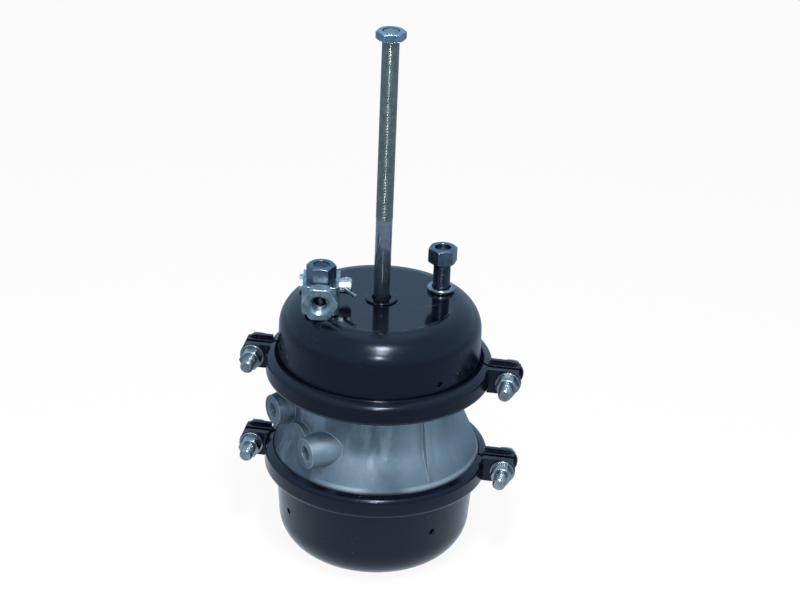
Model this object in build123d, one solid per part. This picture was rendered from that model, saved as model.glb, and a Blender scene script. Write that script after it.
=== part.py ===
from build123d import *
from math import asin, atan2, cos, degrees, radians, sqrt, tan
import os

# Double-diaphragm brake chamber: a service brake section above a spring (parking) brake section.
# Millimetres, +Z up. The origin is the middle of the flat bottom that the chamber stands on.
# The push rod points up, and the two mounting studs are on the X axis.

# Heights of the main levels
BODY_HEIGHT = 258.0
SERVICE_CLAMP_Z = 190.5
SPRING_CLAMP_Z = 93.5
ROD_TIP_Z = 520.0
STROKE = 57.0

# Running and seating clearances
SEAT_GAP = 0.2
STATIC_GAP = 0.1
RUNNING_GAP = 0.05

# Pressed steel housings
SHELL_WALL = 3.2
SERVICE_TOP_RADIUS = 93.8
SERVICE_WALL_TAPER = 1.5
SERVICE_SHOULDER = 27.0
SPRING_BOTTOM_RADIUS = 89.0
SPRING_WALL_TAPER = 6.0
SPRING_SHOULDER = 37.0
VENT_RADIUS = 3.0
SERVICE_VENT_ANGLE = -77.0
SERVICE_VENT_Z = 211.0
SPRING_VENT_ANGLES = (-76.5, -173.0, 75.0)
SPRING_VENT_Z = 53.5
VENT_SPACING = 120.0

# Clamped flanges, the same on the housings and on the casting
FLANGE_RADIUS = 102.2
FLANGE_EDGE_Z = 6.8
FLANGE_FACE_Z = 2.8
FLANGE_SLOPE = 23.0
FLANGE_INNER_FILLET = 4.0

# Clamp bands
BAND_WALL = 3.0
BAND_SIDE_GAP = 1.0
BAND_LIP_RADIUS = 97.9
BAND_CORNER = 4.5
SPLIT_ANGLE = 148.0
HALF_TURN = 180.0
SPLIT_GAP = 4.0
EAR_INNER_RADIUS = 104.0
EAR_ROUND = 12.0
LEFT_EAR_BOLT_RADIUS = 119.0
RIGHT_EAR_BOLT_RADIUS = 123.6
SPRING_EAR_RISE = 2.5
EAR_FACE = 12.0
EAR_THICKNESS = 4.0
EAR_WEB_TOP = 9.4
EAR_WEB_THICKNESS = 2.6
EAR_WEB_BEYOND = 9.0
CLAMP_BOLT_RADIUS = 6.0
CLAMP_HOLE_GAP = 0.5
CLAMP_BOLT_FLATS = 18.0
CLAMP_HEAD_HEIGHT = 7.5
CLAMP_NUT_HEIGHT = 10.0
CLAMP_WASHER_RADIUS = 11.5
CLAMP_WASHER_THICKNESS = 2.5
CLAMP_BOLT_BEYOND_NUT = 14.0
BOLT_TIP_CHAMFER = 1.2

# Flange casting between the two sections
CAST_WAIST_RADIUS = 79.5
CAST_WAIST_TOP = 170.0
CAST_WAIST_BOTTOM = 140.0
CAST_LIP_GAP = 0.5
CAST_FLARE_RISE = 12.8
CAST_WALL = 7.0
WEB_UNDERSIDE = 130.2
WEB_TOP = 148.0
HUB_TOP = 154.0
HUB_RADIUS = 28.0
BASE_POCKET_RADIUS = 48.0
BASE_POCKET_TOP = 140.0
CAVITY_MOUTH_RADIUS = 91.0

# Air ports
PORT_ANGLE = -171.6
PORT_OFFSET = 32.0
PORT_FACE = 95.5
PORT_FACE_RADIUS = 14.3
PORT_ROOT_RADIUS = 20.0
PORT_BOSS_LENGTH = 36.0
PORT_THREAD_RADIUS = 7.25
PORT_THREAD_DEPTH = 15.0
PORT_PASSAGE_RADIUS = 4.0
PARKING_PORT_Z = 134.0
SERVICE_PORT_Z = 148.5
BLANK_BOSS_OFFSET = 4.0
BLANK_BOSS_FACE = 88.0
BLANK_BOSS_RADIUS = 18.5
BLANK_BOSS_Z = 130.0
RIB_ANGLE = -80.0
RIB_THICKNESS = 5.0
RIB_TOP_RADIUS = 83.5
RIB_FOOT_DROP = 1.2

# Centre bore with its bush and seals
ADAPTER_ROD_RADIUS = 15.0
CENTRE_BORE_RADIUS = 19.2
SEAL_HEIGHT = 3.4
BUSH_HEIGHT = 5.6
SNAP_RING_THICKNESS = 1.3

# Adapter rod and pressure plate of the spring section, at rest with the spring applied
ADAPTER_BASE_RADIUS = 45.0
ADAPTER_BASE_THICKNESS = 4.0
ADAPTER_HEAD_RADIUS = 20.0
ADAPTER_HEAD_THICKNESS = 4.0
ADAPTER_HEAD_CLEARANCE = 0.5
PRESSURE_PLATE_RADIUS = 60.0
PRESSURE_PLATE_THICKNESS = 4.0
PRESSURE_PLATE_RIM = 12.0
PRESSURE_HUB_RADIUS = 18.0
PRESSURE_HUB_DEPTH = 22.0
CAGING_SLOT_WIDTH = 13.0
CAGING_SLOT_LENGTH = 24.0
CAGING_POCKET_DEPTH = 10.0

# Diaphragms
DIAPHRAGM_THICKNESS = 3.0
BEAD_INNER_RADIUS = 88.0
SOFT_GAP = 0.25

# Push rod and its plate, at rest with the rods fully out
PUSH_PLATE_RADIUS = 62.0
PUSH_PLATE_THICKNESS = 3.5
PUSH_ROD_RADIUS = 7.65
PUSH_ROD_THREAD_RADIUS = 7.95
PUSH_ROD_TIP_RADIUS = 7.75
PUSH_ROD_THREAD_START = 340.0
PUSH_ROD_FOOT_RADIUS = 16.0
PUSH_ROD_FOOT_HEIGHT = 7.0
JAM_NUT_HEIGHT = 8.0
NUT_FLATS = 24.0
NUT_BORE_GAP = 0.05

# Rod hole in the service housing and its dust ring
ROD_HOLE_RADIUS = 12.3
DUST_RING_BORE = 9.2
DUST_RING_FLANGE_RADIUS = 15.4
DUST_RING_FLANGE_HEIGHT = 1.8

# Springs
RETURN_WIRE = 4.6
RETURN_BOTTOM_RADIUS = 36.0
RETURN_TURNS = 4.0
POWER_WIRE = 11.0
POWER_BOTTOM_RADIUS = 44.0
POWER_TOP_RADIUS = 51.0
POWER_TURNS = 6.0

# Mounting studs, nuts and the loose washer
STUD_CIRCLE = 120.65
STUD_RADIUS = 8.0
STUD_THREAD_RADIUS = 7.75
STUD_SHOULDER_RADIUS = 8.3
STUD_SHOULDER_RISE = 0.3
STUD_HEAD_RADIUS = 13.0
STUD_HEAD_HEIGHT = 5.0
STUD_HEAD_DROP = 1.1
LEFT_STUD_TIP_DEPTH = 0.6
RIGHT_STUD_TIP_DEPTH = 2.6
STUD_NUT_HEIGHT = 14.8
STUD_WASHER_RADIUS = 13.2
STUD_WASHER_ROUND = 1.5
STUD_WASHER_BORE = 9.2
STUD_WASHER_THICKNESS = 4.2

# Yoke, its pin and split pin
YOKE_ANGLE = -113.6
YOKE_BOSS_FLATS = 30.0
YOKE_BOSS_RADIUS = 16.4
YOKE_BOSS_FACE = 26.5
YOKE_CROTCH = 12.0
YOKE_NUT_ROOM = 0.6
YOKE_END = 29.5
YOKE_GAP = 18.7
YOKE_EAR = 7.5
YOKE_HEIGHT = 28.0
YOKE_THREAD_RADIUS = 7.25
YOKE_CHAMFER = 2.6
YOKE_PIN_BACK = 16.4
YOKE_PIN_RADIUS = 7.0
YOKE_PIN_HEAD_RADIUS = 9.5
YOKE_PIN_HEAD = 3.5
YOKE_PIN_BEYOND = 11.0
SPLIT_PIN_RADIUS = 1.6
SPLIT_PIN_EYE = 3.6
SPLIT_PIN_BEYOND = 1.8
SPLIT_PIN_LEG = 16.0
SPLIT_PIN_BEND = 38.0

# Dust plug of the caging hole
CAGING_HOLE_RADIUS = 11.2
CAGING_DISH_RADIUS = 26.0
CAGING_DISH_DEPTH = 4.0
PLUG_FLANGE_RADIUS = 15.0
PLUG_FLANGE_THICKNESS = 2.2
PLUG_LIP_RADIUS = 12.6
PLUG_LIP_HEIGHT = 3.0

# Sizes that follow from the ones above
SLOPE = tan(radians(FLANGE_SLOPE))
BEAD_HALF = FLANGE_FACE_Z - SOFT_GAP
DOME_INSIDE = BODY_HEIGHT - SHELL_WALL
NUT_SEAT_Z = BODY_HEIGHT + YOKE_BOSS_FLATS / 2 + YOKE_HEIGHT / 2 + 2 * STATIC_GAP
YOKE_AXIS_Z = BODY_HEIGHT + YOKE_BOSS_FLATS / 2 + STATIC_GAP
BAND_INNER_RADIUS = FLANGE_RADIUS + BAND_SIDE_GAP
BAND_OUTER_RADIUS = BAND_INNER_RADIUS + BAND_WALL
CAST_FLARE_RADIUS = BAND_LIP_RADIUS - CAST_LIP_GAP
NUT_START = EAR_FACE + CLAMP_WASHER_THICKNESS
SPRING_DIAPHRAGM_TOP = WEB_UNDERSIDE - SOFT_GAP
PRESSURE_PLATE_TOP = SPRING_DIAPHRAGM_TOP - DIAPHRAGM_THICKNESS - SOFT_GAP
ADAPTER_BASE_Z = SPRING_DIAPHRAGM_TOP + SOFT_GAP
ADAPTER_TOP_Z = HUB_TOP + STROKE + ADAPTER_HEAD_THICKNESS + ADAPTER_HEAD_CLEARANCE
PUSH_PLATE_Z = ADAPTER_TOP_Z + DIAPHRAGM_THICKNESS + 2 * SOFT_GAP

os.makedirs("parts", exist_ok=True)


def profile(points, rounds=()):
    """A flat face in the XZ plane from (radius, height) points; rounds lists (index, radius) fillets."""
    face = make_face(Polyline(*points, close=True)).face()
    for index, radius in rounds:
        corner = face.vertices().sort_by_distance(Vector(*points[index], 0))[0]
        face = face.fillet_2d(radius, [corner])
    return Plane.XZ * face


def turned(points, rounds=(), start=0.0, arc=360.0):
    """A solid turned about the Z axis from (radius, height) points."""
    solid = revolve(profile(points, rounds), axis=Axis.Z, revolution_arc=arc)
    return Rot(0, 0, start) * solid


def disc(radius, bottom, top, bore=0.0):
    """A round disc or ring about the Z axis."""
    if bore > 0:
        return turned([(bore, bottom), (radius, bottom), (radius, top), (bore, top)])
    return Pos(0, 0, bottom) * Cylinder(radius, top - bottom, align=(Align.CENTER, Align.CENTER, Align.MIN))


def hex_block(flats, height, bore=0.0):
    """A hexagonal nut or bolt head on Z=0, with its corners chamfered and an optional bore."""
    corner = flats / sqrt(3)
    drop = (corner - flats / 2) * tan(radians(30))
    prism = extrude(RegularPolygon(flats / 2, 6, major_radius=False), height)
    envelope = turned([
        (0, 0), (flats / 2 - 0.3, 0), (corner, drop), (corner, height - drop), (flats / 2 - 0.3, height), (0, height),
    ])
    block = prism & envelope
    if bore > 0:
        block -= Cylinder(bore, 3 * height)
    return block


def at_angle(angle):
    """A frame turned about Z, with X pointing outwards at that angle."""
    return Rot(0, 0, angle)


def along(angle, distance, offset, height):
    """A frame whose Z axis points outwards at that angle, level with the ground."""
    return at_angle(angle) * Pos(distance, offset, height) * Rot(0, 90, 0)


def save(name, shape):
    """Writes one sub-part, of one solid or of a group of separate solids."""
    solids = shape.solids()
    whole = solids[0] if len(solids) == 1 else Compound(children=list(solids))
    whole.label = name
    export_step(whole, f"parts/{name}.step")


def slope_height(radius, rise=0.0):
    """Height of the clamped flange's sloped face above the clamp plane at that radius."""
    return FLANGE_EDGE_Z + rise + (FLANGE_RADIUS - radius) * SLOPE


def vents(angles, height):
    """Drills that cross a housing's wall at the given angles."""
    return [along(angle, SPRING_BOTTOM_RADIUS, 0, height) * Cylinder(VENT_RADIUS, 10 * SHELL_WALL) for angle in angles]


def service_housing():
    """Pressed dome of the service section, open below, with the rod and stud holes."""
    foot_radius = SERVICE_TOP_RADIUS + SERVICE_WALL_TAPER
    plane = SERVICE_CLAMP_Z
    points = [
        (ROD_HOLE_RADIUS, BODY_HEIGHT),
        (SERVICE_TOP_RADIUS, BODY_HEIGHT),
        (foot_radius, plane + slope_height(foot_radius)),
        (FLANGE_RADIUS, plane + FLANGE_EDGE_Z),
        (FLANGE_RADIUS, plane + FLANGE_FACE_Z),
        (foot_radius - SHELL_WALL, plane + FLANGE_FACE_Z),
        (SERVICE_TOP_RADIUS - SHELL_WALL, DOME_INSIDE),
        (ROD_HOLE_RADIUS, DOME_INSIDE),
    ]
    rounds = [(1, SERVICE_SHOULDER), (2, FLANGE_INNER_FILLET), (5, 2.0), (6, SERVICE_SHOULDER - SHELL_WALL)]
    shell = turned(points, rounds)
    for side in (-1, 1):
        shell -= Pos(side * STUD_CIRCLE / 2, 0, BODY_HEIGHT) * Cylinder(STUD_SHOULDER_RADIUS + STATIC_GAP, 4 * SHELL_WALL)
    for tool in vents([SERVICE_VENT_ANGLE + k * VENT_SPACING for k in range(3)], SERVICE_VENT_Z):
        shell -= tool
    return shell


def spring_housing():
    """Pressed pot of the spring section, open above, with a dished bottom round the caging hole."""
    mouth_radius = SPRING_BOTTOM_RADIUS + SPRING_WALL_TAPER
    plane = SPRING_CLAMP_Z
    dish = CAGING_DISH_DEPTH
    points = [
        (CAGING_HOLE_RADIUS, dish),
        (CAGING_DISH_RADIUS, dish),
        (CAGING_DISH_RADIUS + dish, 0),
        (SPRING_BOTTOM_RADIUS, 0),
        (mouth_radius, plane - slope_height(mouth_radius)),
        (FLANGE_RADIUS, plane - FLANGE_EDGE_Z),
        (FLANGE_RADIUS, plane - FLANGE_FACE_Z),
        (mouth_radius - SHELL_WALL, plane - FLANGE_FACE_Z),
        (SPRING_BOTTOM_RADIUS - SHELL_WALL, SHELL_WALL),
        (CAGING_DISH_RADIUS + dish, SHELL_WALL),
        (CAGING_DISH_RADIUS, dish + SHELL_WALL),
        (CAGING_HOLE_RADIUS, dish + SHELL_WALL),
    ]
    rounds = [
        (1, 2.0), (2, 2.0), (3, SPRING_SHOULDER), (4, FLANGE_INNER_FILLET), (7, 2.0),
        (8, SPRING_SHOULDER - SHELL_WALL), (9, 2.0), (10, 2.0),
    ]
    shell = turned(points, rounds)
    for tool in vents(SPRING_VENT_ANGLES, SPRING_VENT_Z):
        shell -= tool
    return shell


def clamp_profile(plane):
    """V-shaped section of a clamp band round the clamp plane."""
    gap = SEAT_GAP / cos(radians(FLANGE_SLOPE))
    wall = BAND_WALL / cos(radians(FLANGE_SLOPE))
    lip_inside = slope_height(BAND_LIP_RADIUS, gap)
    edge_inside = slope_height(BAND_INNER_RADIUS, gap)
    edge_outside = slope_height(BAND_OUTER_RADIUS, gap + wall)
    upper = [
        (BAND_LIP_RADIUS, lip_inside), (BAND_LIP_RADIUS, lip_inside + wall), (BAND_OUTER_RADIUS, edge_outside),
    ]
    lower = [(radius, -height) for radius, height in reversed(upper)]
    inside = [(BAND_INNER_RADIUS, -edge_inside), (BAND_INNER_RADIUS, edge_inside)]
    points = [(radius, plane + height) for radius, height in upper + lower + inside]
    rounds = [(1, 1.0), (2, BAND_CORNER), (3, BAND_CORNER), (4, 1.0), (6, 1.5), (7, 1.5)]
    return points, rounds


def ear(level, split, side, bolt_radius):
    """Folded ear at a band's end, on one side of a split, with its bolt hole at that level."""
    reach = bolt_radius - EAR_INNER_RADIUS
    plate = extrude(
        Rectangle(reach, 2 * EAR_ROUND, align=(Align.MIN, Align.CENTER))
        + Pos(reach, 0) * Circle(EAR_ROUND)
        - Pos(reach, 0) * Circle(CLAMP_BOLT_RADIUS + CLAMP_HOLE_GAP),
        EAR_THICKNESS,
    )
    outer_face = EAR_FACE if side > 0 else EAR_THICKNESS - EAR_FACE
    plate = Pos(EAR_INNER_RADIUS, outer_face, level) * Rot(90, 0, 0) * plate
    web_depth = EAR_FACE - SPLIT_GAP / 2
    web = Pos(EAR_INNER_RADIUS, side * (SPLIT_GAP / 2 + web_depth / 2), level + EAR_WEB_TOP) * Box(
        reach + EAR_WEB_BEYOND, web_depth, EAR_WEB_THICKNESS, align=(Align.MIN, Align.CENTER, Align.MAX),
    )
    return at_angle(split) * (plate + web)


def ear_level(plane):
    """Height of a clamp's ear bolts; those of the lower clamp sit above its clamp plane."""
    return plane + SPRING_EAR_RISE if plane == SPRING_CLAMP_Z else plane


def ear_bolt_radius(split):
    """Distance of an ear's bolt from the chamber's axis; the right ears reach further out."""
    return LEFT_EAR_BOLT_RADIUS if split == SPLIT_ANGLE else RIGHT_EAR_BOLT_RADIUS


def clamp_half(plane, first_split):
    """Half of a clamp band, running up from one split line to the other, with an ear at each end."""
    points, rounds = clamp_profile(plane)
    trim = degrees(asin(SPLIT_GAP / 2 / BAND_OUTER_RADIUS))
    half = turned(points, rounds, first_split + trim, HALF_TURN - 2 * trim)
    other_split = SPLIT_ANGLE - HALF_TURN if first_split == SPLIT_ANGLE else SPLIT_ANGLE
    half += ear(ear_level(plane), first_split, 1, ear_bolt_radius(first_split))
    return half + ear(ear_level(plane), other_split, -1, ear_bolt_radius(other_split))


def bolt_places():
    """Frames of the four clamp bolts; Z points along the bolt, towards the nut, from the split plane."""
    places = []
    for plane in (SERVICE_CLAMP_Z, SPRING_CLAMP_Z):
        for split, side in ((SPLIT_ANGLE, 1), (SPLIT_ANGLE - HALF_TURN, -1)):
            spot = Pos(ear_bolt_radius(split), 0, ear_level(plane))
            places.append(at_angle(split) * spot * Rot(-90 * side, 0, 0))
    return places


def clamp_bolts():
    """Four hexagon bolts across the splits of the two clamps."""
    reach = NUT_START + CLAMP_NUT_HEIGHT + CLAMP_BOLT_BEYOND_NUT
    shank = turned([
        (0, -EAR_FACE), (CLAMP_BOLT_RADIUS, -EAR_FACE), (CLAMP_BOLT_RADIUS, reach - BOLT_TIP_CHAMFER),
        (CLAMP_BOLT_RADIUS - BOLT_TIP_CHAMFER, reach), (0, reach),
    ])
    head = Pos(0, 0, -EAR_FACE - CLAMP_HEAD_HEIGHT) * hex_block(CLAMP_BOLT_FLATS, CLAMP_HEAD_HEIGHT)
    bolt = shank + head
    return Compound(children=[place * bolt for place in bolt_places()])


def clamp_nuts():
    """Nuts of the clamp bolts."""
    nut = Pos(0, 0, NUT_START) * hex_block(CLAMP_BOLT_FLATS, CLAMP_NUT_HEIGHT, CLAMP_BOLT_RADIUS + NUT_BORE_GAP)
    return Compound(children=[place * nut for place in bolt_places()])


def clamp_washers():
    """Washers between the nuts and the ears."""
    washer = disc(CLAMP_WASHER_RADIUS, EAR_FACE, NUT_START, CLAMP_BOLT_RADIUS + CLAMP_HOLE_GAP)
    return Compound(children=[place * washer for place in bolt_places()])


def port_boss(offset, height):
    """Tapered boss of an air port, from inside the wall to its flat face."""
    cone = Cone(PORT_ROOT_RADIUS, PORT_FACE_RADIUS, PORT_BOSS_LENGTH, align=(Align.CENTER, Align.CENTER, Align.MAX))
    return along(PORT_ANGLE, PORT_FACE, offset, height) * cone


def port_drilling(offset, height, reach):
    """Threaded hole of an air port, and the narrower passage behind it."""
    frame = along(PORT_ANGLE, PORT_FACE, offset, height)
    thread = Cylinder(PORT_THREAD_RADIUS, PORT_THREAD_DEPTH, align=(Align.CENTER, Align.CENTER, Align.MAX))
    passage = Cylinder(PORT_PASSAGE_RADIUS, reach, align=(Align.CENTER, Align.CENTER, Align.MAX))
    return frame * (thread + passage)


def casting_rib():
    """Triangular rib that stiffens the casting's flared wall, from under the waist to the lower lip."""
    foot_z = SPRING_CLAMP_Z + CAST_FLARE_RISE + RIB_FOOT_DROP
    face = make_face(Polyline(
        (CAST_WAIST_RADIUS - CAST_WALL / 2, CAST_WAIST_TOP), (RIB_TOP_RADIUS, CAST_WAIST_TOP),
        (CAST_FLARE_RADIUS - RIB_FOOT_DROP, foot_z), (CAST_FLARE_RADIUS - CAST_WALL, foot_z), close=True,
    )).face()
    return at_angle(RIB_ANGLE) * extrude(Plane.XZ * face, RIB_THICKNESS / 2, both=True)


def flange_case():
    """Casting between the sections: two lips, a flared wall, the web with its bore, and the port bosses."""
    top = SERVICE_CLAMP_Z
    low = SPRING_CLAMP_Z
    flare_z = low + CAST_FLARE_RISE
    throat = 94.5
    outer = turned(
        [
            (0, top - FLANGE_FACE_Z),
            (FLANGE_RADIUS, top - FLANGE_FACE_Z),
            (FLANGE_RADIUS, top - FLANGE_EDGE_Z),
            (throat, top - slope_height(throat)),
            (CAST_WAIST_RADIUS, CAST_WAIST_TOP),
            (CAST_WAIST_RADIUS + 3, CAST_WAIST_BOTTOM),
            (CAST_FLARE_RADIUS, flare_z),
            (CAST_FLARE_RADIUS, low + slope_height(CAST_FLARE_RADIUS)),
            (FLANGE_RADIUS, low + FLANGE_EDGE_Z),
            (FLANGE_RADIUS, low + FLANGE_FACE_Z),
            (0, low + FLANGE_FACE_Z),
        ],
        [(3, 3.0), (4, 12.0), (5, 40.0), (6, 2.0)],
    )
    upper_cavity = turned(
        [
            (0, WEB_TOP), (66, WEB_TOP), (CAST_WAIST_RADIUS - CAST_WALL + 2, CAST_WAIST_TOP - 4),
            (CAVITY_MOUTH_RADIUS, top - 9), (CAVITY_MOUTH_RADIUS, top), (0, top),
        ],
        [(1, 8.0), (2, 8.0), (3, 4.0)],
    )
    hub = disc(HUB_RADIUS, WEB_UNDERSIDE, HUB_TOP)
    lower_cavity = turned(
        [
            (0, low), (CAVITY_MOUTH_RADIUS, low), (CAVITY_MOUTH_RADIUS, low + 13), (80, WEB_UNDERSIDE), (0, WEB_UNDERSIDE),
        ],
        [(2, 8.0), (3, 6.0)],
    )
    blank_boss = along(PORT_ANGLE, BLANK_BOSS_FACE, BLANK_BOSS_OFFSET, BLANK_BOSS_Z) * Cylinder(
        BLANK_BOSS_RADIUS, 30, align=(Align.CENTER, Align.CENTER, Align.MAX)
    )
    case = outer + port_boss(PORT_OFFSET, PARKING_PORT_Z) + port_boss(-PORT_OFFSET, SERVICE_PORT_Z) + blank_boss
    case += casting_rib()
    case -= upper_cavity - hub
    case -= lower_cavity
    case -= disc(BASE_POCKET_RADIUS, WEB_UNDERSIDE - 1, BASE_POCKET_TOP)
    case -= disc(CENTRE_BORE_RADIUS, WEB_UNDERSIDE, HUB_TOP + 1)
    case -= port_drilling(PORT_OFFSET, PARKING_PORT_Z, PORT_FACE - 62)
    case -= port_drilling(-PORT_OFFSET, SERVICE_PORT_Z, PORT_FACE - 55)
    case -= at_angle(PORT_ANGLE) * Pos(66, PORT_OFFSET, WEB_UNDERSIDE) * Cylinder(PORT_PASSAGE_RADIUS, 8)
    return case


def diaphragm(plane, plateau_radius, plateau_z):
    """Moulded rubber diaphragm: a bead in the clamped flange, a flexing wall and a flat centre."""
    thick = DIAPHRAGM_THICKNESS
    return turned(
        [
            (0, plateau_z), (plateau_radius, plateau_z), (BEAD_INNER_RADIUS - 1, plane + BEAD_HALF - thick),
            (BEAD_INNER_RADIUS - 1, plane - BEAD_HALF), (FLANGE_RADIUS, plane - BEAD_HALF),
            (FLANGE_RADIUS, plane + BEAD_HALF), (BEAD_INNER_RADIUS, plane + BEAD_HALF),
            (plateau_radius + 1.5, plateau_z + thick), (0, plateau_z + thick),
        ],
        [(1, 6.0), (7, 9.0)],
    )


def coil_spring(wire, bottom_radius, top_radius, bottom, top, turns):
    """Round-wire compression spring between two seats."""
    rise = top - bottom - wire
    taper = degrees(atan2(top_radius - bottom_radius, rise))
    path = Helix(pitch=rise / turns, height=rise, radius=bottom_radius, cone_angle=taper)
    start = path @ 0
    section = Plane(origin=start, z_dir=path % 0) * Circle(wire / 2)
    spring = sweep(section, path=path, is_frenet=True)
    return Pos(0, 0, bottom + wire / 2) * spring


def adapter_rod():
    """Rod that carries the spring's force through the web, with its base plate and its head."""
    return (
        disc(ADAPTER_BASE_RADIUS, ADAPTER_BASE_Z, ADAPTER_BASE_Z + ADAPTER_BASE_THICKNESS)
        + disc(ADAPTER_ROD_RADIUS, ADAPTER_BASE_Z, ADAPTER_TOP_Z)
        + disc(ADAPTER_HEAD_RADIUS, ADAPTER_TOP_Z - ADAPTER_HEAD_THICKNESS, ADAPTER_TOP_Z)
    )


def pressure_plate():
    """Plate on top of the power spring, with its rim and the hub that takes the caging bolt."""
    top = PRESSURE_PLATE_TOP
    hub_bottom = top - PRESSURE_PLATE_THICKNESS - PRESSURE_HUB_DEPTH
    plate = turned(
        [
            (0, hub_bottom), (PRESSURE_HUB_RADIUS, hub_bottom),
            (PRESSURE_HUB_RADIUS, top - PRESSURE_PLATE_THICKNESS),
            (PRESSURE_PLATE_RADIUS - 3, top - PRESSURE_PLATE_THICKNESS),
            (PRESSURE_PLATE_RADIUS - 3, top - PRESSURE_PLATE_RIM), (PRESSURE_PLATE_RADIUS, top - PRESSURE_PLATE_RIM),
            (PRESSURE_PLATE_RADIUS, top), (0, top),
        ],
        [(2, 2.0), (6, 3.0)],
    )
    slot = Box(CAGING_SLOT_LENGTH, CAGING_SLOT_WIDTH, PRESSURE_HUB_DEPTH - 2, align=(Align.CENTER, Align.CENTER, Align.MIN))
    pocket = disc(CAGING_SLOT_LENGTH / 2, hub_bottom + CAGING_POCKET_DEPTH, hub_bottom + PRESSURE_HUB_DEPTH - 2)
    return plate - Pos(0, 0, hub_bottom) * slot - pocket


def push_rod():
    """Push rod of the service section: smooth shank, threaded length and tip."""
    top = PUSH_PLATE_Z + PUSH_PLATE_THICKNESS
    seat = ROD_TIP_Z - JAM_NUT_HEIGHT - STATIC_GAP
    return turned([
        (0, top), (PUSH_ROD_RADIUS, top), (PUSH_ROD_RADIUS, PUSH_ROD_THREAD_START),
        (PUSH_ROD_THREAD_RADIUS, PUSH_ROD_THREAD_START), (PUSH_ROD_THREAD_RADIUS, seat),
        (PUSH_ROD_TIP_RADIUS, seat), (PUSH_ROD_TIP_RADIUS, ROD_TIP_Z - 1), (PUSH_ROD_TIP_RADIUS - 1, ROD_TIP_Z),
        (0, ROD_TIP_Z),
    ])


def push_plate():
    """Round plate that the service diaphragm pushes, with the foot that the rod is welded into."""
    top = PUSH_PLATE_Z + PUSH_PLATE_THICKNESS
    bore = PUSH_ROD_RADIUS + RUNNING_GAP
    return turned(
        [
            (0, PUSH_PLATE_Z), (PUSH_PLATE_RADIUS, PUSH_PLATE_Z), (PUSH_PLATE_RADIUS, top),
            (PUSH_ROD_FOOT_RADIUS, top), (PUSH_ROD_RADIUS + 2, top + PUSH_ROD_FOOT_HEIGHT),
            (bore, top + PUSH_ROD_FOOT_HEIGHT), (bore, top), (0, top),
        ],
        [(1, 1.5), (2, 1.5)],
    )


def dust_ring():
    """Raised ring in the rod hole of the service housing."""
    neck = ROD_HOLE_RADIUS - STATIC_GAP
    return turned(
        [
            (DUST_RING_BORE, DOME_INSIDE), (neck, DOME_INSIDE), (neck, BODY_HEIGHT + STATIC_GAP),
            (DUST_RING_FLANGE_RADIUS, BODY_HEIGHT + STATIC_GAP),
            (DUST_RING_FLANGE_RADIUS, BODY_HEIGHT + DUST_RING_FLANGE_HEIGHT),
            (DUST_RING_BORE, BODY_HEIGHT + DUST_RING_FLANGE_HEIGHT),
        ],
        [(4, 0.9)],
    )


def stud(side, tip_depth):
    """Mounting stud with its head inside the dome and its thread under the nut."""
    tip = NUT_SEAT_Z + STUD_NUT_HEIGHT - tip_depth
    head_top = DOME_INSIDE - STUD_HEAD_DROP
    body = turned([
        (0, head_top - STUD_HEAD_HEIGHT), (STUD_HEAD_RADIUS, head_top - STUD_HEAD_HEIGHT),
        (STUD_HEAD_RADIUS, head_top), (STUD_SHOULDER_RADIUS, head_top),
        (STUD_SHOULDER_RADIUS, BODY_HEIGHT + STUD_SHOULDER_RISE), (STUD_RADIUS, BODY_HEIGHT + STUD_SHOULDER_RISE),
        (STUD_RADIUS, NUT_SEAT_Z - SEAT_GAP), (STUD_THREAD_RADIUS, NUT_SEAT_Z - SEAT_GAP),
        (STUD_THREAD_RADIUS, tip - 1), (STUD_THREAD_RADIUS - 1, tip), (0, tip),
    ])
    return Pos(side * STUD_CIRCLE / 2, 0, 0) * body


def stud_nut(side, turn):
    """Hexagon nut of a mounting stud."""
    nut = hex_block(NUT_FLATS, STUD_NUT_HEIGHT, STUD_THREAD_RADIUS + NUT_BORE_GAP)
    return Pos(side * STUD_CIRCLE / 2, 0, NUT_SEAT_Z) * Rot(0, 0, turn) * nut


def stud_washer():
    """Loose washer with rounded edges at the foot of the right stud."""
    low = BODY_HEIGHT + STATIC_GAP
    high = low + STUD_WASHER_THICKNESS
    ring = turned(
        [(STUD_WASHER_BORE, low), (STUD_WASHER_RADIUS, low), (STUD_WASHER_RADIUS, high), (STUD_WASHER_BORE, high)],
        [(1, STUD_WASHER_ROUND), (2, STUD_WASHER_ROUND)],
    )
    return Pos(STUD_CIRCLE / 2, 0, 0) * ring


def yoke_place():
    """Frame of the yoke: X along its axis towards the boss face, Z up, origin on the stud's axis."""
    return Pos(-STUD_CIRCLE / 2, 0, YOKE_AXIS_Z) * Rot(0, 0, YOKE_ANGLE)


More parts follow.
